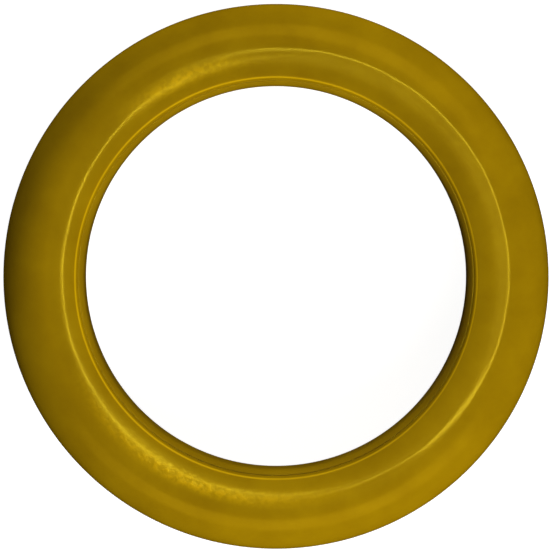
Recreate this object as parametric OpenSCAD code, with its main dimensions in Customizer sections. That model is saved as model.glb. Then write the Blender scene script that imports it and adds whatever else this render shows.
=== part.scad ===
// Juggling ring: a hollow moulded throwing ring with a rounded outer edge, gently sloping faces and a
// separate band that lines the hole. The ring lies flat with its axis along Z and its centre at the origin.
// Lengths are in millimetres and angles in degrees.

/* [Overall size] */

// Outside diameter of the ring
outer_d = 240; // [240:1:250]
// Diameter of the straight middle of the hole
hole_d = 168; // [166:1:169]
// Thickness of the ring from one face to the other
ring_t = 34; // [33:0.5:35]
// Diameter of the circle where each face is highest
crest_d = 198; // [196:0.5:198.5]

/* [Edge shape] */

// Radius of the outermost edge, seen in section
nose_r = 14; // [13.5:0.5:14.5]
// Drop from each crest to the lip beside the hole
lip_drop = 1.8; // [1.4:0.1:2.2]
// Width of the flat on top of each crest, which the ring rests on
crest_flat_w = 2; // [1:0.5:2.5]
// Radius that turns the face into the wall of the hole
throat_r = 11; // [10.5:0.5:11.5]
// Direction in which the lip faces, where 90 is straight up and 180 is towards the axis
lip_a = 132; // [130:0.5:134]

/* [Walls and seams] */

// Thickness of the moulded walls
wall = 1.8; // [1.6:0.1:2]
// Share of the wall taken by the tongue at each seam
tongue_share = 0.45; // [0.4:0.05:0.5]
// Depth of the tongue around the outer edge
tongue_l = 1.8; // [1.5:0.1:2.2]
// Gap all round a tongue in its rebate
tongue_gap = 0.08; // [0.05:0.01:0.12]
// Width of the fine groove that shows at the seams beside the hole
throat_seam_w = 0.55; // [0.3:0.05:0.6]
// Direction in which that groove faces
throat_seam_a = 143; // [142:0.5:146]
// Width of the fine groove that shows around the outer edge
rim_seam_w = 0.25; // [0.15:0.05:0.4]

/* [Stiffening ribs] */

// Number of ribs moulded inside each shell
rib_count = 12; // [6:1:24]
// Thickness of each rib
rib_t = 1.2; // [1:0.1:1.6]
// Height of each rib's free edge above the joint between the shells
rib_floor = 3; // [2.5:0.5:4]

/* [Hidden] */

// The turned surfaces are drawn with this many sides
$fn = 240;

outer_r = outer_d / 2;
hole_r = hole_d / 2;
half_t = ring_t / 2;
flat_in_r = crest_d / 2 - crest_flat_w / 2;
flat_out_r = crest_d / 2 + crest_flat_w / 2;

// The nose arc makes the outermost edge
nose_c = [outer_r - nose_r, 0];

// The shoulder arc leaves the crest flat level and runs smoothly into the nose arc
shoulder_run = nose_c[0] - flat_out_r;
shoulder_r = (pow(shoulder_run, 2) + pow(half_t, 2) - pow(nose_r, 2)) / (2 * (half_t - nose_r));
shoulder_c = [flat_out_r, half_t - shoulder_r];
shoulder_a = atan2(-shoulder_c[1], shoulder_run);

// The throat arc turns each face down into the straight wall of the hole
throat_c = [hole_r + throat_r, half_t - lip_drop - throat_r * sin(lip_a)];

// The land arc leaves the crest flat level and falls away to the lip
land_run = flat_in_r - on_circle(throat_c, throat_r, lip_a)[0];
land_r = (pow(land_run, 2) + pow(lip_drop, 2)) / (2 * lip_drop);
land_c = [flat_in_r, half_t - land_r];

// Angles along the throat arc, where 180 is level with the wall of the hole
seam_half_a = arc_angle(throat_seam_w / 2, throat_r);
band_end_a = throat_seam_a + seam_half_a;
lip_end_a = throat_seam_a - seam_half_a;
lip_rebate_a = angle_from(throat_c, lip(wall)) + arc_angle(tongue_gap, throat_r);
band_tongue_a = lip_rebate_a + arc_angle(2 * tongue_gap, throat_r);

// Angles along the nose arc, where 0 is the joint between the shells
rim_half_a = arc_angle(rim_seam_w / 2, nose_r);
rim_tongue_a = arc_angle(tongue_l, nose_r);
rim_rebate_a = rim_tongue_a + arc_angle(2 * tongue_gap, nose_r);

// Numbers of steps that the visible arcs, the hidden arcs and the short arcs at the seams are drawn in
outer_steps = 9;
inner_steps = 4;
seam_steps = 2;

// Depths of the tongues and rebates below the visible surface
tongue_in = wall - wall * tongue_share;
rebate_in = tongue_in - tongue_gap;

// The ribs end short of the band
rib_in_r = throat_c[0] - throat_r / 2;

shell_yellow = [0.62, 0.47, 0.02];
band_yellow = [0.56, 0.42, 0.02];

// Angle that a length takes up along an arc of radius r
function arc_angle(length, r) = length / r * 180 / PI;

// Angle of the direction from point a to point b
function angle_from(a, b) = atan2(b[1] - a[1], b[0] - a[0]);

// Point on a circle
function on_circle(c, r, a) = c + r * [cos(a), sin(a)];

// Points along an arc in n equal steps, leaving out the first point when skip is 1
function arc(c, r, a0, a1, n, skip = 0) =
    [for (i = [skip : n]) on_circle(c, r, a0 + (a1 - a0) * i / n)];

// The crossing of two circles that lies nearer to the hole
function circles_meet(c1, r1, c2, r2) =
    let (
        d = norm(c2 - c1),
        along = (r1 * r1 - r2 * r2 + d * d) / (2 * d),
        aside = sqrt(r1 * r1 - along * along),
        u = (c2 - c1) / d
    )
    c1 + along * u + aside * [-u[1], u[0]];

// The corner where the land meets the throat, at a given depth below the visible surface
function lip(inset) = circles_meet(land_c, land_r - inset, throat_c, throat_r - inset);

// Points from the nose at angle a0, over the crest, to the lip, at a given depth below the surface
function face_path(inset, a0, steps) = concat(
    arc(nose_c, nose_r - inset, a0, shoulder_a, steps),
    arc(shoulder_c, shoulder_r - inset, shoulder_a, 90, steps, 1),
    arc(land_c, land_r - inset, 90, angle_from(land_c, lip(inset)), steps)
);

function reversed(path) = [for (i = [len(path) - 1 : -1 : 0]) path[i]];

// Visible surface from the rim seam to the end of the lip, then back under the lip to its rebate
function shell_outside() = concat(
    face_path(0, rim_half_a, outer_steps),
    arc(throat_c, throat_r, lip_a, lip_end_a, seam_steps, 1),
    arc(throat_c, throat_r - rebate_in, lip_end_a, lip_rebate_a, seam_steps),
    [on_circle(throat_c, throat_r - wall, lip_rebate_a)]
);

// Surface inside the tube, from the lip back to the nose at angle a0
function shell_inside(a0) = reversed(face_path(wall, a0, inner_steps));

// Section of the front shell, whose tongue reaches past the joint
function front_section() = concat(
    shell_outside(),
    shell_inside(-rim_tongue_a),
    arc(nose_c, nose_r - tongue_in, -rim_tongue_a, rim_half_a, seam_steps)
);

// Section of the rear shell before it is turned over, with the rebate that takes the tongue
function rear_section() = concat(
    shell_outside(),
    shell_inside(rim_rebate_a),
    arc(nose_c, nose_r - rebate_in, rim_rebate_a, rim_half_a, seam_steps)
);

// Upper half of the band's section, from the wall of the hole over the tongue to the inside of the tube
function band_path() = concat(
    arc(throat_c, throat_r, 180, band_end_a, outer_steps),
    arc(throat_c, throat_r - tongue_in, band_end_a, band_tongue_a, seam_steps),
    arc(throat_c, throat_r - wall, band_tongue_a, 180, inner_steps)
);

// Section of a rib: its top edge is buried in the wall and its other edges are straight
function rib_section() =
    let (
        inset = wall / 2,
        nose_a = asin(rib_floor / (nose_r - inset)),
        land_a = acos((rib_in_r - land_c[0]) / (land_r - inset))
    )
    concat(
        arc(nose_c, nose_r - inset, nose_a, shoulder_a, inner_steps),
        arc(shoulder_c, shoulder_r - inset, shoulder_a, 90, inner_steps, 1),
        arc(land_c, land_r - inset, 90, land_a, inner_steps),
        [[rib_in_r, rib_floor]]
    );

// The ribs of one shell, spaced evenly around the ring
module ribs() {
    for (i = [0 : rib_count - 1])
        rotate([90, 0, (i + 0.5) * 360 / rib_count])
            linear_extrude(height = rib_t, center = true)
                polygon(rib_section());
}

// Front half of the tube, with a tongue around its outer edge
module front_shell() {
    color(shell_yellow) {
        rotate_extrude() polygon(front_section());
        ribs();
    }
}

// Rear half of the tube, with a rebate around its outer edge that takes the tongue
module rear_shell() {
    color(shell_yellow)
        mirror([0, 0, 1]) {
            rotate_extrude() polygon(rear_section());
            ribs();
        }
}

// Band that lines the hole, with a tongue along each edge that slides under a shell's lip
module inner_band() {
    color(band_yellow)
        rotate_extrude()
            polygon(concat(
                reversed([for (p = band_path()) [p[0], -p[1]]]),
                band_path()
            ));
}

front_shell();
rear_shell();
inner_band();
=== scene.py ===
# %% [markdown]
# # Juggling ring
# The ring is taken to be a hollow plastic tube bent into a circle, made of two half tubes, front
# and rear, and a plain band that lines the hole and closes the tube. What is inside can't be seen,
# so that is a reading of it and not a fact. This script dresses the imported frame: it loads the
# plain solids, replaces each with a finely turned piece of nearly the same size, gives the plastic
# its colour and gloss, and lights it.

# %% Load the frame
import math
import bmesh
import bpy
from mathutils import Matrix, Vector


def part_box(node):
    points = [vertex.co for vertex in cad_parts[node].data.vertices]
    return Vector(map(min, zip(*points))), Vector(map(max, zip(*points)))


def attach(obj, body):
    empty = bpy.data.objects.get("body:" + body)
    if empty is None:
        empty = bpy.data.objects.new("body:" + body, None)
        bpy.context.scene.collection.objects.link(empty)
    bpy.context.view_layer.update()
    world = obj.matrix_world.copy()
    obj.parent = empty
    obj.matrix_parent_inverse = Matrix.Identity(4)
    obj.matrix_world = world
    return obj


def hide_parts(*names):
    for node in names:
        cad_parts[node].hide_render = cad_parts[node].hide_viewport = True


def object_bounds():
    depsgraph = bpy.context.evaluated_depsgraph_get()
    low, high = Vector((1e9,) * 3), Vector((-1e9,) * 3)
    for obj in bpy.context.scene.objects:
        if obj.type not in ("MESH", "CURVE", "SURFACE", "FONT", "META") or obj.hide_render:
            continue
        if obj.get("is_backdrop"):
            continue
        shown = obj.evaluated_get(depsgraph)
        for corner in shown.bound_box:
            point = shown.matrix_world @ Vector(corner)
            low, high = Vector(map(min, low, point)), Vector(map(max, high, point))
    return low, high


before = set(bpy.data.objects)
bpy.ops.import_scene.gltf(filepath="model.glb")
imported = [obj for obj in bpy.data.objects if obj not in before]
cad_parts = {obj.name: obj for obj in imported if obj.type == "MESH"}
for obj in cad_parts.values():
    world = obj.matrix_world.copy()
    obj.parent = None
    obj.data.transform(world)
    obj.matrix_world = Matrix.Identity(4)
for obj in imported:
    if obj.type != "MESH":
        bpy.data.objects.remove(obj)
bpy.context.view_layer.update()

# %% [markdown]
# ## Sizes
# Everything is turned about one axis, so the ring is known by its section. The outside radius and
# the half thickness are read from the frame. The rest of the section is a short chain of arcs: a
# tight nose on the outside, a broad shoulder up to the flat crest, a gentle land that falls towards
# the hole, and a throat that turns down into the wall of the hole.

# %% Sizes of the section
MM = 0.001
outer_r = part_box("front_shell")[1].x
half_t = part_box("front_shell")[1].z
hole_r = 84.0 * MM
crest_r = 99.0 * MM
crest_flat = 2.0 * MM
nose_r = 14.0 * MM
throat_r = 11.0 * MM
lip_drop = 1.8 * MM
lip_face = 132.0
wall = 1.8 * MM
seam_face = 143.0
throat_seam = 0.55 * MM
rim_seam = 0.25 * MM
tongue_in = 0.99 * MM
rebate_in = 0.91 * MM
tongue_l = 1.8 * MM
print("outer radius", round(outer_r, 5), "half thickness", round(half_t, 5))

# %% [markdown]
# ## Arcs of the section
# Each arc is kept as a centre and a radius. The shoulder radius is the one that leaves the crest
# level and meets the nose with no corner, and the land radius is the one that leaves the crest
# level and arrives at the lip.

# %% Centres and radii
flat_in, flat_out = crest_r - crest_flat / 2, crest_r + crest_flat / 2
nose_c = Vector((outer_r - nose_r, 0))
run = nose_c.x - flat_out
shoulder_r = (run**2 + half_t**2 - nose_r**2) / (2 * (half_t - nose_r))
shoulder_c = Vector((flat_out, half_t - shoulder_r))
shoulder_face = math.degrees(math.atan2(-shoulder_c.y, run))
lip_way = Vector((math.cos(math.radians(lip_face)), math.sin(math.radians(lip_face))))
throat_c = Vector((hole_r + throat_r, half_t - lip_drop - throat_r * lip_way.y))
lip = throat_c + throat_r * lip_way
land_r = ((flat_in - lip.x) ** 2 + lip_drop**2) / (2 * lip_drop)
land_c = Vector((flat_in, half_t - land_r))
print("shoulder radius", round(shoulder_r, 4), "land radius", round(land_r, 4))


def arc(centre, radius, start, stop, step=0.7 * MM):
    """Points along an arc, no further apart than step."""
    count = max(2, math.ceil(abs(math.radians(stop - start)) * radius / step))
    angles = [math.radians(start + (stop - start) * i / count) for i in range(count + 1)]
    return [centre + radius * Vector((math.cos(a), math.sin(a))) for a in angles]


def arc_angle(length, radius):
    """Degrees that a length takes up along an arc."""
    return math.degrees(length / radius)


# %% [markdown]
# ## Sections
# A moulded edge is never razor sharp. Each corner that shows is rounded by a fraction of a
# millimetre, because that small radius is what catches the light and draws the fine bright line
# along a seam. The rounding is a short curve drawn between a point before the corner and a point
# after it.

# %% Rounding a corner of a loop
def tidy(points, least=0.02 * MM):
    """Drops points that fall on the one before."""
    kept = []
    for p in points:
        if not kept or (p - kept[-1]).length > least:
            kept.append(p)
    return kept if (kept[0] - kept[-1]).length > least else kept[:-1]


def soften(points, corner, radius, steps=4):
    """Rounds the corner of a closed loop that lies nearest to a given point."""
    at = min(range(len(points)), key=lambda i: (points[i] - corner).length)
    around = {}
    for way in (-1, 1):
        i, left, here = at, radius, points[at]
        while left > 0:
            i = (i + way) % len(points)
            gap = (points[i] - here).length
            if gap > left:
                here = here.lerp(points[i], left / gap)
                break
            left, here = left - gap, points[i]
        around[way] = (i, here)
    before, after = around[-1], around[1]
    bend = []
    for k in range(steps + 1):
        t = k / steps
        bend.append((1 - t) ** 2 * before[1] + 2 * t * (1 - t) * points[at] + t * t * after[1])
    out, i = list(bend), after[0]
    while i != before[0]:
        out.append(points[i])
        i = (i + 1) % len(points)
    return tidy(out + [points[before[0]]])


square = [Vector((x, y)) * MM for x, y in ((0, 0), (10, 0), (10, 10), (0, 10))]
print("a square with one rounded corner has", len(soften(square, square[2], 2 * MM)), "points")

# %% [markdown]
# ## Closed sections
# A section is one closed loop: along the visible skin, around the seam and back along the inside of
# the tube. The inside lies one wall deeper, so its land and throat meet at an angle of their own,
# and it must stop just there. If it ran on, the loop would cross itself and the piece wouldn't be a
# clean solid. The band carries a small bead that makes its groove shallow, and the bead stops
# a hair short of the shell so that the two pieces never touch.

# %% Closed sections
def lip_at(inset):
    """Angle along the land at which it meets the throat, at a depth below the surface."""
    long, short, apart = land_r - inset, throat_r - inset, throat_c - land_c
    along = (long**2 - short**2 + apart.length_squared) / (2 * apart.length)
    aside = math.sqrt(long**2 - along**2)
    way = apart.normalized()
    meet = along * way + aside * Vector((-way.y, way.x))
    return math.degrees(math.atan2(meet.y, meet.x))


def skin(inset, first):
    """From the nose at a given angle over the crest to the lip, at a depth below the surface."""
    return (
        arc(nose_c, nose_r - inset, first, shoulder_face)
        + arc(shoulder_c, shoulder_r - inset, shoulder_face, 90)
        + arc(land_c, land_r - inset, 90, lip_at(inset))
    )


half_seam = arc_angle(throat_seam / 2, throat_r)
half_rim = arc_angle(rim_seam / 2, nose_r)
rebate_face = 134.9
tongue_face = 135.4
bead_in = 0.4 * MM
bead_gap = 0.06 * MM
tongue_play = 0.16 * MM
LIP_ROUND, SEAM_ROUND, RIM_ROUND, BAND_ROUND = 0.9 * MM, 0.35 * MM, 0.2 * MM, 0.4 * MM


def on_throat(depth, face):
    """Point below the throat's surface."""
    a = math.radians(face)
    return throat_c + (throat_r - depth) * Vector((math.cos(a), math.sin(a)))


def shell_section(nose_end, nose_depth):
    """Section of a half tube; the nose ends in a tongue or in the rebate that takes it."""
    lip_end = seam_face - half_seam
    loop = tidy(
        skin(0, half_rim)
        + arc(throat_c, throat_r, lip_face, lip_end)[1:]
        + arc(throat_c, throat_r - rebate_in, lip_end, rebate_face)
        + [on_throat(wall, rebate_face)]
        + skin(wall, nose_end)[::-1]
        + arc(nose_c, nose_r - nose_depth, nose_end, half_rim)
    )
    loop = soften(loop, lip, LIP_ROUND, 8)
    loop = soften(loop, on_throat(0, lip_end), SEAM_ROUND)
    rim_edge = nose_c + nose_r * Vector((1, math.sin(math.radians(half_rim))))
    return soften(loop, rim_edge, RIM_ROUND)


def band_section():
    """Section of the band: the wall of the hole, curved back at both edges to a tongue."""
    end = seam_face + half_seam
    bead_end = seam_face - half_seam + arc_angle(bead_gap, throat_r)
    half = (
        arc(throat_c, throat_r, 180, end)
        + arc(throat_c, throat_r - bead_in, end, bead_end)
        + arc(throat_c, throat_r - tongue_in, bead_end, tongue_face)
        + arc(throat_c, throat_r - wall, tongue_face, 180)
    )
    lower = [Vector((p.x, -p.y)) for p in half[::-1]]
    loop = tidy(lower + half)
    for side in (1, -1):
        edge = on_throat(0, end)
        loop = soften(loop, Vector((edge.x, side * edge.y)), BAND_ROUND)
    return loop


front_loop = shell_section(-arc_angle(tongue_l, nose_r), tongue_in)
rear_loop = shell_section(arc_angle(tongue_l + tongue_play, nose_r), rebate_in)
band_loop = band_section()
print("points in the sections", len(front_loop), len(rear_loop), len(band_loop))

# %% [markdown]
# ## Small helpers for node trees
# Shader trees and Geometry Nodes trees are built in the same way, so three short helpers serve
# both: one adds a named input, one adds a node and sets its values, and one adds a math node.

# %% Helpers for node trees
def socket(tree, name, kind, value=None):
    """Adds a named input to a tree."""
    made = tree.interface.new_socket(name=name, in_out="INPUT", socket_type=kind)
    if value is not None:
        made.default_value = value
    return made


def node(tree, kind, **values):
    """Adds a node and sets its inputs by name."""
    made = tree.nodes.new(kind)
    for name, value in values.items():
        made.inputs[name.replace("_", " ")].default_value = value
    return made


def maths(tree, operation, *values):
    """A math node fed by sockets or plain numbers."""
    made = tree.nodes.new("ShaderNodeMath")
    made.operation = operation
    for slot_in, value in zip(made.inputs, values):
        if isinstance(value, (int, float)):
            slot_in.default_value = value
        else:
            tree.links.new(value, slot_in)
    return made.outputs[0]


def drop_height(tree, place):
    """A point with its height taken away."""
    flat = tree.nodes.new("ShaderNodeVectorMath")
    flat.operation = "MULTIPLY"
    flat.inputs[1].default_value = (1, 1, 0)
    tree.links.new(place, flat.inputs[0])
    return flat.outputs["Vector"]


def gap_to(tree, flat, x, y):
    """Distance of a flattened point from a place in the ring's plane."""
    gap = tree.nodes.new("ShaderNodeVectorMath")
    gap.operation = "DISTANCE"
    gap.inputs[1].default_value = (x, y, 0)
    tree.links.new(flat, gap.inputs[0])
    return gap.outputs["Value"]


def long_way(tree, flat):
    """Distance of a flattened point from the axis."""
    size = tree.nodes.new("ShaderNodeVectorMath")
    size.operation = "LENGTH"
    tree.links.new(flat, size.inputs[0])
    return size.outputs["Value"]


print("helpers ready")

# %% [markdown]
# ## The crease on the crest
# A low ridge runs round each face, a third of a millimetre high at most. It is there to gather the
# light into one thin line. Its path isn't a true circle about the axis: three swings, each a size
# and a direction, push it out on the right and in on the left, and their values were fitted to the
# look of the ring and don't come from how such a ring is made. A turned ring would have none of
# this. The ridge fades where the crest is rubbed. Each rubbed place is given by where it is, how
# far it reaches and how strongly it is pitted.

# %% The crease
CREASE_SWINGS = ((1, 4.3 * MM, 25), (2, 0.7 * MM, 43), (3, 0.7 * MM, -19))
CREASE_WANDER = 1.0 * MM
CREASE_ROUND = 0.5 * MM
CREASE_WORN = 0.8
FACE_FROM = 14.5 * MM
RUBBED_PLACES = ((-0.040, 0.087, 0.046, 0.15), (-0.040, -0.087, 0.078, 1.0))


def near_places(tree, flat):
    """One at the middle of either rubbed place, falling to nothing at its reach."""
    either = 0.0
    for x, y, reach, _ in RUBBED_PLACES:
        share = maths(tree, "DIVIDE", gap_to(tree, flat, x, y), reach)
        share = maths(tree, "SUBTRACT", 1.0, share)
        either = maths(tree, "MAXIMUM", either, share)
    return either


def crease_lift(tree, given):
    """How far the crest crease lifts each point away from the middle plane."""
    spot = tree.nodes.new("GeometryNodeInputPosition").outputs[0]
    flat = drop_height(tree, spot)
    parts = tree.nodes.new("ShaderNodeSeparateXYZ")
    tree.links.new(spot, parts.inputs[0])
    x, y, z = parts.outputs
    around = maths(tree, "ARCTAN2", y, x)
    wander = node(tree, "ShaderNodeTexNoise", Scale=40.0, Detail=3.0)
    shift = maths(tree, "MULTIPLY_ADD", wander.outputs["Fac"], 2 * CREASE_WANDER, -CREASE_WANDER)
    path = maths(tree, "ADD", given["Crease radius"], shift)
    for times, swing, towards in CREASE_SWINGS:
        turn = maths(tree, "MULTIPLY_ADD", around, times, -times * math.radians(towards))
        path = maths(tree, "MULTIPLY_ADD", maths(tree, "COSINE", turn), swing, path)
    off = maths(tree, "SUBTRACT", long_way(tree, flat), path)
    off = maths(tree, "SQRT", maths(tree, "MULTIPLY_ADD", off, off, CREASE_ROUND**2))
    fall = maths(tree, "SUBTRACT", 1.0, maths(tree, "DIVIDE", off, given["Crease reach"]))
    fall = maths(tree, "MAXIMUM", fall, 0.0)
    lift = maths(tree, "MULTIPLY", maths(tree, "MULTIPLY", fall, fall), given["Crease height"])
    worn = maths(tree, "MULTIPLY_ADD", near_places(tree, flat), -CREASE_WORN, 1.0)
    face = maths(tree, "GREATER_THAN", maths(tree, "ABSOLUTE", z), FACE_FROM)
    side = maths(tree, "MULTIPLY", face, maths(tree, "SIGN", z))
    lift = maths(tree, "MULTIPLY", maths(tree, "MULTIPLY", lift, worn), side)
    up = tree.nodes.new("ShaderNodeCombineXYZ")
    tree.links.new(lift, up.inputs[2])
    return up.outputs[0]


print("crease path from", len(CREASE_SWINGS), "swings,", len(RUBBED_PLACES), "rubbed places")

# %% [markdown]
# ## Turning a section into a ring
# A lathe and a round mould do the same thing, they carry one section round an axis, and Geometry
# Nodes can say exactly that: the section is swept along a circle. The crease comes next, and then
# a slow noise pushes the skin in and out by a few hundredths of a millimetre. Moulded plastic
# shrinks unevenly as it cools, and shallow waves like these make its highlights wander a little.

# %% The turning tree
AXIS_R = 100.0 * MM


def turning_tree():
    """Sweeps a section around the axis and ripples the skin."""
    tree = bpy.data.node_groups.new("turned_section", "GeometryNodeTree")
    tree.interface.new_socket(name="Geometry", in_out="OUTPUT", socket_type="NodeSocketGeometry")
    socket(tree, "Section", "NodeSocketGeometry")
    socket(tree, "Axis radius", "NodeSocketFloat", AXIS_R)
    socket(tree, "Steps around", "NodeSocketInt", 360)
    socket(tree, "Ripple height", "NodeSocketFloat", 0.03 * MM)
    socket(tree, "Ripple scale", "NodeSocketFloat", 60.0)
    socket(tree, "Seed", "NodeSocketFloat", 0.0)
    socket(tree, "Crease height", "NodeSocketFloat", 0.0)
    socket(tree, "Crease reach", "NodeSocketFloat", 7.0 * MM)
    socket(tree, "Crease radius", "NodeSocketFloat", 97.3 * MM)
    socket(tree, "Plastic", "NodeSocketMaterial")
    link = tree.links.new
    given = tree.nodes.new("NodeGroupInput").outputs
    outline = node(tree, "GeometryNodeMeshToCurve")
    path = node(tree, "GeometryNodeCurvePrimitiveCircle")
    sweep = node(tree, "GeometryNodeCurveToMesh")
    noise = node(tree, "ShaderNodeTexNoise", Detail=2.0, Roughness=0.5)
    noise.noise_dimensions = "4D"
    middle = node(tree, "ShaderNodeMath")
    middle.operation = "SUBTRACT"
    middle.inputs[1].default_value = 0.5
    height = node(tree, "ShaderNodeMath")
    height.operation = "MULTIPLY"
    normal = node(tree, "GeometryNodeInputNormal")
    push = node(tree, "ShaderNodeVectorMath")
    push.operation = "SCALE"
    move = node(tree, "GeometryNodeSetPosition")
    smooth = node(tree, "GeometryNodeSetShadeSmooth")
    real = node(tree, "GeometryNodeRealizeInstances")
    paint = node(tree, "GeometryNodeSetMaterial")
    out = node(tree, "NodeGroupOutput")
    link(given["Section"], outline.inputs["Mesh"])
    link(given["Axis radius"], path.inputs["Radius"])
    link(given["Steps around"], path.inputs["Resolution"])
    link(path.outputs["Curve"], sweep.inputs["Curve"])
    link(outline.outputs["Curve"], sweep.inputs["Profile Curve"])
    link(given["Ripple scale"], noise.inputs["Scale"])
    link(given["Seed"], noise.inputs["W"])
    link(noise.outputs["Fac"], middle.inputs[0])
    link(middle.outputs[0], height.inputs[0])
    link(given["Ripple height"], height.inputs[1])
    link(normal.outputs["Normal"], push.inputs[0])
    link(height.outputs[0], push.inputs["Scale"])
    crease = tree.nodes.new("GeometryNodeSetPosition")
    link(sweep.outputs["Mesh"], crease.inputs["Geometry"])
    link(crease_lift(tree, given), crease.inputs["Offset"])
    link(crease.outputs[0], move.inputs["Geometry"])
    link(push.outputs[0], move.inputs["Offset"])
    link(move.outputs[0], smooth.inputs["Geometry"])
    link(smooth.outputs[0], real.inputs["Geometry"])
    link(real.outputs[0], paint.inputs["Geometry"])
    link(given["Plastic"], paint.inputs["Material"])
    link(paint.outputs[0], out.inputs[0])
    return tree


turning = turning_tree()
print("turning tree has", len(turning.nodes), "nodes")

# %% [markdown]
# ## From nodes to a plain mesh
# The tree runs once on each section and its result is kept as an ordinary mesh, so the piece no
# longer depends on the nodes. Then the faces are turned to point out of the plastic. A closed piece
# has a positive volume and no open edges, and both are printed.

# %% Baking a piece
def bake(source, tree, name, **inputs):
    """Runs a tree on an object and keeps the result as a plain mesh object."""
    modifier = source.modifiers.new("make", "NODES")
    modifier.node_group = tree
    for item in tree.interface.items_tree:
        key = item.name.replace(" ", "_").lower()
        if item.in_out == "INPUT" and key in inputs:
            modifier[item.identifier] = inputs[key]
    graph = bpy.context.evaluated_depsgraph_get()
    mesh = bpy.data.meshes.new_from_object(source.evaluated_get(graph))
    mesh.name = name
    made = bpy.data.objects.new(name, mesh)
    bpy.context.collection.objects.link(made)
    source.modifiers.clear()
    bpy.data.objects.remove(source)
    return made


def outward(piece):
    """Turns every face to point out of the plastic."""
    work = bmesh.new()
    work.from_mesh(piece.data)
    if work.calc_volume(signed=True) < 0:
        bmesh.ops.reverse_faces(work, faces=work.faces)
    volume = work.calc_volume(signed=True)
    open_edges = sum(not e.is_manifold for e in work.edges)
    work.to_mesh(piece.data)
    work.free()
    print(piece.name, "volume cm3", round(volume * 1e6, 2), "open edges", open_edges,
          "faces", len(piece.data.polygons))


# %% [markdown]
# ## The plastic
# The ring is one colour right through, a deep mustard yellow, so the finish is a property of the
# plastic and not a coat of paint. Three things keep it from looking like flat colour: a slow
# cloudiness in the pigment, a fine orange-peel that comes from the mould, and a gloss that varies.
# All of them are noise in the object's own coordinates, so they stay put when the ring is turned.
#
# Masks say where the plastic looks different. One covers the two rubbed stretches of the crest,
# which are a little duller, and one of them is pitted as well; their paler, speckled tone is partly
# wear and partly a painted highlight. Another is a narrow pale line along the rounded lip, a
# painted highlight with a little edge wear. A mask is a number from nothing to one at every point.

# %% Masks
def ramp(tree, fac, stops):
    """A colour ramp fed by a value."""
    made = tree.nodes.new("ShaderNodeValToRGB")
    made.color_ramp.elements[0].position, made.color_ramp.elements[0].color = stops[0]
    made.color_ramp.elements[1].position, made.color_ramp.elements[1].color = stops[-1]
    for place, colour in stops[1:-1]:
        made.color_ramp.elements.new(place).color = colour
    tree.links.new(fac, made.inputs["Fac"])
    return made.outputs["Color"]


def hump(tree, value, middle, reach):
    """One at the middle, falling smoothly to nothing at a reach either side."""
    off = maths(tree, "ABSOLUTE", maths(tree, "SUBTRACT", value, middle))
    made = tree.nodes.new("ShaderNodeMapRange")
    made.interpolation_type = "SMOOTHSTEP"
    made.inputs["From Max"].default_value = reach
    made.inputs["To Min"].default_value = 1.0
    made.inputs["To Max"].default_value = 0.0
    tree.links.new(off, made.inputs["Value"])
    return made.outputs["Result"]


def from_axis(tree, place):
    """Distance from the axis, as a value."""
    return long_way(tree, drop_height(tree, place))


RUBBED_R, RUBBED_REACH = 96.3 * MM, 5.2 * MM
RAG_DEPTH = 30.0 * MM
RUBBED_SPREAD = 1.25
LIP_LINE = 0.6 * MM


def rub_and_glint_mask(tree, place):
    """Where the crest is rubbed and painted with a paler highlight, and where it is pitted too:
    stretches with ragged borders.
    """
    rag = node(tree, "ShaderNodeTexNoise", Scale=45.0, Detail=4.0, Roughness=0.6)
    tree.links.new(place, rag.inputs["Vector"])
    flat = drop_height(tree, place)
    either, pitted = 0.0, 0.0
    for x, y, reach, pits in RUBBED_PLACES:
        gap = gap_to(tree, flat, x, y)
        ragged = maths(tree, "MULTIPLY_ADD", rag.outputs["Fac"], RAG_DEPTH, gap)
        here = hump(tree, ragged, 0.0, reach * RUBBED_SPREAD)
        either = maths(tree, "MAXIMUM", either, here)
        pitted = maths(tree, "MAXIMUM", pitted, maths(tree, "MULTIPLY", here, pits))
    crest = hump(tree, from_axis(tree, place), RUBBED_R, RUBBED_REACH)
    return maths(tree, "MULTIPLY", either, crest), maths(tree, "MULTIPLY", pitted, crest)


def lip_wear_and_highlight_mask(tree, place):
    """A narrow line along the rounded lip, where a highlight is painted in with a little edge wear.
    """
    return hump(tree, from_axis(tree, place), lip.x, LIP_LINE)


print("rubbed stretches lie", RUBBED_R / MM, "mm from the axis")

# %% [markdown]
# ## A moulded plastic
# The masks and the noises feed one shader. On the rubbed crest and along the lip the colour mixes
# towards a paler tone, partly wear and partly a painted highlight. The rub adds to the roughness,
# and the bump is orange-peel everywhere with deeper pits where the mask asks for them. The two
# finishes share one colour, and the band is a little duller.

# %% A moulded plastic
WEAR_AND_HIGHLIGHT_MIX, WEAR_AND_HIGHLIGHT_LIFT = 0.7, 2.1
RUB_DULLS, PEEL_HEIGHT, PIT_HEIGHT = 0.06, 0.6, 10.0


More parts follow.
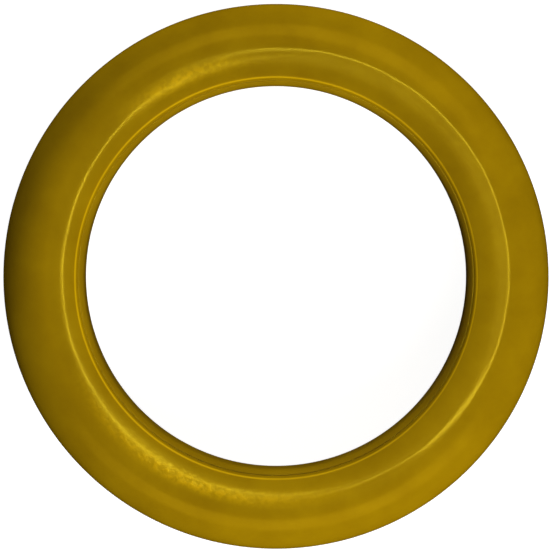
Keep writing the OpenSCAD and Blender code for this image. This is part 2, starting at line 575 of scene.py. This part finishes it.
def plastic(name, dark, light, rough_low, rough_high, peel):
    """Moulded plastic with cloudy pigment, orange-peel, rubbed stretches and painted highlights on
    the crest and lip.
    """
    material = bpy.data.materials.new(name)
    material.use_nodes = True
    tree = material.node_tree
    link = tree.links.new
    shader = tree.nodes["Principled BSDF"]
    shader.inputs["IOR"].default_value = 1.5
    place = tree.nodes.new("ShaderNodeTexCoord").outputs["Object"]
    cloud = node(tree, "ShaderNodeTexNoise", Scale=38.0, Detail=5.0, Roughness=0.6)
    fine = node(tree, "ShaderNodeTexNoise", Scale=700.0, Detail=3.0, Roughness=0.6)
    scuff = node(tree, "ShaderNodeTexNoise", Scale=240.0, Detail=6.0, Roughness=0.7, Distortion=0.6)
    grain = node(tree, "ShaderNodeTexNoise", Scale=430.0, Detail=2.0, Roughness=0.5)
    for texture in (cloud, fine, scuff, grain):
        link(place, texture.inputs["Vector"])
    body = ramp(tree, cloud.outputs["Fac"], [(0.3, dark), (0.7, light)])
    rub, pitted = rub_and_glint_mask(tree, place)
    dim, full = (0.45, 0.45, 0.45, 1), (1, 1, 1, 1)
    # Paler specks on the rubbed crest: partly wear, partly a painted highlight.
    wear_glint_speck = ramp(tree, grain.outputs["Fac"], [(0.4, dim), (0.6, full)])
    rubbed = maths(tree, "MULTIPLY", wear_glint_speck, rub)
    # A painted highlight line along the lip, with a little edge wear.
    edge = lip_wear_and_highlight_mask(tree, place)
    pale = maths(tree, "MAXIMUM", rubbed, edge)
    # Mixing towards a brighter tone paints highlights on the crest and the lip, partly as wear.
    paler = tree.nodes.new("ShaderNodeMix")
    paler.data_type = "RGBA"
    link(maths(tree, "MULTIPLY", pale, WEAR_AND_HIGHLIGHT_MIX), paler.inputs["Factor"])
    link(body, paler.inputs["A"])
    paler.inputs["B"].default_value = tuple(min(1, c * WEAR_AND_HIGHLIGHT_LIFT) for c in light[:3]) + (1,)
    link(paler.outputs["Result"], shader.inputs["Base Color"])
    spread = tree.nodes.new("ShaderNodeMapRange")
    spread.inputs["To Min"].default_value = rough_low
    spread.inputs["To Max"].default_value = rough_high
    link(scuff.outputs["Fac"], spread.inputs["Value"])
    dulled = maths(tree, "MULTIPLY_ADD", rub, RUB_DULLS, spread.outputs["Result"])
    link(dulled, shader.inputs["Roughness"])
    peel_height = maths(tree, "MULTIPLY", fine.outputs["Fac"], PEEL_HEIGHT)
    pit_height = maths(tree, "MULTIPLY", grain.outputs["Fac"], pitted)
    pit_height = maths(tree, "MULTIPLY", pit_height, PIT_HEIGHT)
    skin_bump = node(tree, "ShaderNodeBump", Strength=peel, Distance=0.0001)
    link(maths(tree, "ADD", peel_height, pit_height), skin_bump.inputs["Height"])
    link(skin_bump.outputs["Normal"], shader.inputs["Normal"])
    return material


MUSTARD_DARK = (0.258, 0.147, 0.0004, 1)
MUSTARD_LIGHT = (0.325, 0.192, 0.0008, 1)
shell_plastic = plastic("shell_plastic", MUSTARD_DARK, MUSTARD_LIGHT, 0.15, 0.23, 0.35)
band_plastic = plastic("band_plastic", MUSTARD_DARK, MUSTARD_LIGHT, 0.22, 0.4, 0.35)
print("finishes", shell_plastic.name, band_plastic.name)

# %% [markdown]
# ## The three pieces
# Each section becomes an object made only of edges, standing in the plane of the axis, and the
# turning tree does the rest. The front and rear halves get different seeds, so their ripples
# differ as two mouldings do. Each piece rides the one body of the ring and stands in for one solid
# of the frame.

# %% Turn the shells and the band
SHELL_RIPPLE, BAND_RIPPLE, CREASE_HEIGHT = 0.06 * MM, 0.05 * MM, 0.35 * MM


def turned(name, loop, seed, material, ripple, crease=0.0, flip=1):
    """One turned piece from its section."""
    mesh = bpy.data.meshes.new(name + "_section")
    points = [(p.x - AXIS_R, -flip * p.y, 0) for p in loop]
    edges = [(i, (i + 1) % len(points)) for i in range(len(points))]
    mesh.from_pydata(points, edges, [])
    source = bpy.data.objects.new(name + "_section", mesh)
    bpy.context.collection.objects.link(source)
    piece = bake(source, turning, name, seed=seed, plastic=material, ripple_height=ripple,
                 crease_height=crease)
    outward(piece)
    return piece


shell_skin = (shell_plastic, SHELL_RIPPLE, CREASE_HEIGHT)
front_skin = turned("front_shell_skin", front_loop, 3.0, *shell_skin)
rear_skin = turned("rear_shell_skin", rear_loop, 11.0, *shell_skin, flip=-1)
band_skin = turned("inner_band_skin", band_loop, 7.0, band_plastic, BAND_RIPPLE)
for piece, cad_node, slot_name in (
    (front_skin, "front_shell", "shell"),
    (rear_skin, "rear_shell", "shell"),
    (band_skin, "inner_band", "band"),
):
    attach(piece, "root")
    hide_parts(cad_node)

# %% [markdown]
# ## Floor
# The ring lies on a plain pale sheet. Nearly all the white of the sheet is its own glow, as on a
# light table, so the ring's shadow on it is very faint. It is hidden from the rays that leave the
# plastic, so it neither brightens the ring from below nor shows in its gloss. A real sheet would do
# both.

# %% Floor
FLOOR_SIDE = 6.0
FLOOR_GREY, FLOOR_GLOW = 0.4, 0.93


def floor_finish():
    """Pale matte sheet with its own glow."""
    material = bpy.data.materials.new("pale_sheet")
    material.use_nodes = True
    shader = material.node_tree.nodes["Principled BSDF"]
    shader.inputs["Base Color"].default_value = (FLOOR_GREY, FLOOR_GREY, FLOOR_GREY, 1)
    shader.inputs["Roughness"].default_value = 0.9
    shader.inputs["Emission Color"].default_value = (1, 1, 1, 1)
    shader.inputs["Emission Strength"].default_value = FLOOR_GLOW
    return material


def floor():
    """A square sheet under the ring."""
    mesh = bpy.data.meshes.new("floor")
    s, z = FLOOR_SIDE / 2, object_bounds()[0][2]
    mesh.from_pydata([(-s, -s, z), (s, -s, z), (s, s, z), (-s, s, z)], [], [(0, 1, 2, 3)])
    mesh.materials.append(floor_finish())
    sheet = bpy.data.objects.new("floor", mesh)
    bpy.context.collection.objects.link(sheet)
    sheet.visible_diffuse = False
    sheet.visible_glossy = False
    return sheet


floor()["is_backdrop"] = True
print("floor side", FLOOR_SIDE, "m")

# %% [markdown]
# ## Camera
# The ring is seen from almost straight above, from a metre and a half away. The camera leans about
# two degrees towards +Y, so a little more of the wall of the hole shows on the -Y side. The lens is
# worked out from the distance and from half the width that the picture should take in.

# %% Camera
CAMERA_FAR = 1.5
CAMERA_TIP = math.radians(2.3)
CAMERA_AIM = Vector((0.0, 0.0005, 0.0))
HALF_VIEW = 0.1215
SENSOR_MM = 36.0

camera = bpy.data.objects.new("camera", bpy.data.cameras.new("camera"))
bpy.context.collection.objects.link(camera)
camera.location = CAMERA_AIM + CAMERA_FAR * Vector((0, math.sin(CAMERA_TIP), math.cos(CAMERA_TIP)))
camera.rotation_euler = (-CAMERA_TIP, 0, 0)
camera.data.sensor_width = SENSOR_MM
camera.data.lens = SENSOR_MM / 2 * CAMERA_FAR / HALF_VIEW
camera.data.clip_start = 0.05
camera.data.clip_end = 20.0
bpy.context.scene.camera = camera
print("lens mm", round(camera.data.lens, 1))

# %% [markdown]
# ## Lights
# Each lamp is aimed at the middle of the ring and is given a direction, a distance, a size and a
# power. Some are told to light only the body of the plastic and some only its gloss, so the form
# can be shaded from one side without a white window sliding over it. No real lamp can be split
# like that; it is a freedom that Blender gives. The strengths were fitted to the look of the ring.
# The gloss lamps are tinted yellow, so the highlights say nothing about how the plastic would
# shine under white ones. A lamp kept out of the gloss also has multiple importance sampling
# switched off, or it would leave grey patches there.

# %% Lights
def lamp(name, around, down, power, size, far=1.5, gloss=None, colour=(1, 1, 1)):
    """A soft square lamp: degrees around the axis, degrees down from it, watts and side."""
    light = bpy.data.lights.new(name, "AREA")
    light.energy, light.size, light.color = power, size, colour
    made = bpy.data.objects.new(name, light)
    bpy.context.collection.objects.link(made)
    turn, lean = math.radians(around), math.radians(down)
    across = far * math.sin(lean)
    made.location = (across * math.cos(turn), across * math.sin(turn), far * math.cos(lean))
    made.rotation_mode = "QUATERNION"
    made.rotation_quaternion = (-made.location).to_track_quat("-Z", "Y")
    made.visible_glossy = gloss is not False
    made.visible_diffuse = gloss is not True
    light.cycles.use_multiple_importance_sampling = gloss is not False
    return made


WARM = (1.0, 0.68, 0.02)
SOFT = 0.55
lamp("form_low", 270, 52, 5.2, SOFT, gloss=False)
lamp("form_right", 300, 52, 20.0, SOFT, gloss=False)
lamp("form_far_right", 60, 80, 10.0, SOFT, gloss=False)
lamp("form_high", 90, 80, 12.0, SOFT, gloss=False)
for i, around in enumerate((50, 72, 94, 116)):
    lamp(f"sheen_high_{i}", around, 50, 1.3, 0.7, gloss=True, colour=WARM)
for i, around in enumerate((238, 260, 282, 304)):
    lamp(f"sheen_low_{i}", around, 52, 1.5, 0.7, gloss=True, colour=WARM)
print("form and sheen lamps", len(bpy.data.lights))

# %% [markdown]
# ## Tube lamp
# The bright line round the crest follows the crease, and a circle of small lamps near the camera
# lights it. The circle is centred a little to the right, and each lamp is placed by the two angles
# at which it is seen from the ring. Lamps too close to the camera's own direction are left out,
# because they draw a second line inside the first. The ones just beyond are a little stronger.

# %% Tube lamp
TUBE_LAMPS = 28
TUBE_ACROSS, TUBE_UP, TUBE_RADIUS = 7.0, 1.5, 8.5
TUBE_POWER = 0.29
TUBE_SIDE = 0.07
LENS_SHADE = 5.9
TUBE_NEAR, NEAR_LEAN = 1.25, 9.0
YELLOW = (1.0, 0.8, 0.04)

for i in range(TUBE_LAMPS):
    turn = math.tau * i / TUBE_LAMPS
    across = TUBE_ACROSS + TUBE_RADIUS * math.cos(turn)
    up = TUBE_UP + TUBE_RADIUS * math.sin(turn)
    lean = math.hypot(across, up)
    if lean > LENS_SHADE:
        around = math.degrees(math.atan2(up, across))
        power = TUBE_POWER * (TUBE_NEAR if lean < NEAR_LEAN else 1.0)
        lamp(f"tube_{i:02d}", around, lean, power, TUBE_SIDE, gloss=True, colour=YELLOW)
print("tube lamps", sum(light.name.startswith("tube_") for light in bpy.data.lights))

# %% [markdown]
# ## Room light
# A weak even light from all round fills the shadows. Like the form lamps, it lights the body of the
# plastic and stays out of the gloss.

# %% Room light
ROOM_STRENGTH = 0.12
world = bpy.data.worlds.new("room")
bpy.context.scene.world = world
world.use_nodes = True
world.node_tree.nodes["Background"].inputs["Color"].default_value = (1, 1, 1, 1)
world.node_tree.nodes["Background"].inputs["Strength"].default_value = ROOM_STRENGTH
world.cycles_visibility.glossy = False
print("room light", ROOM_STRENGTH)

# %% [markdown]
# ## Colour
# The Standard view shows colours as they are mixed, with no film curve.

# %% Colour management
bpy.context.scene.view_settings.view_transform = "Standard"
bpy.context.scene.view_settings.look = "None"
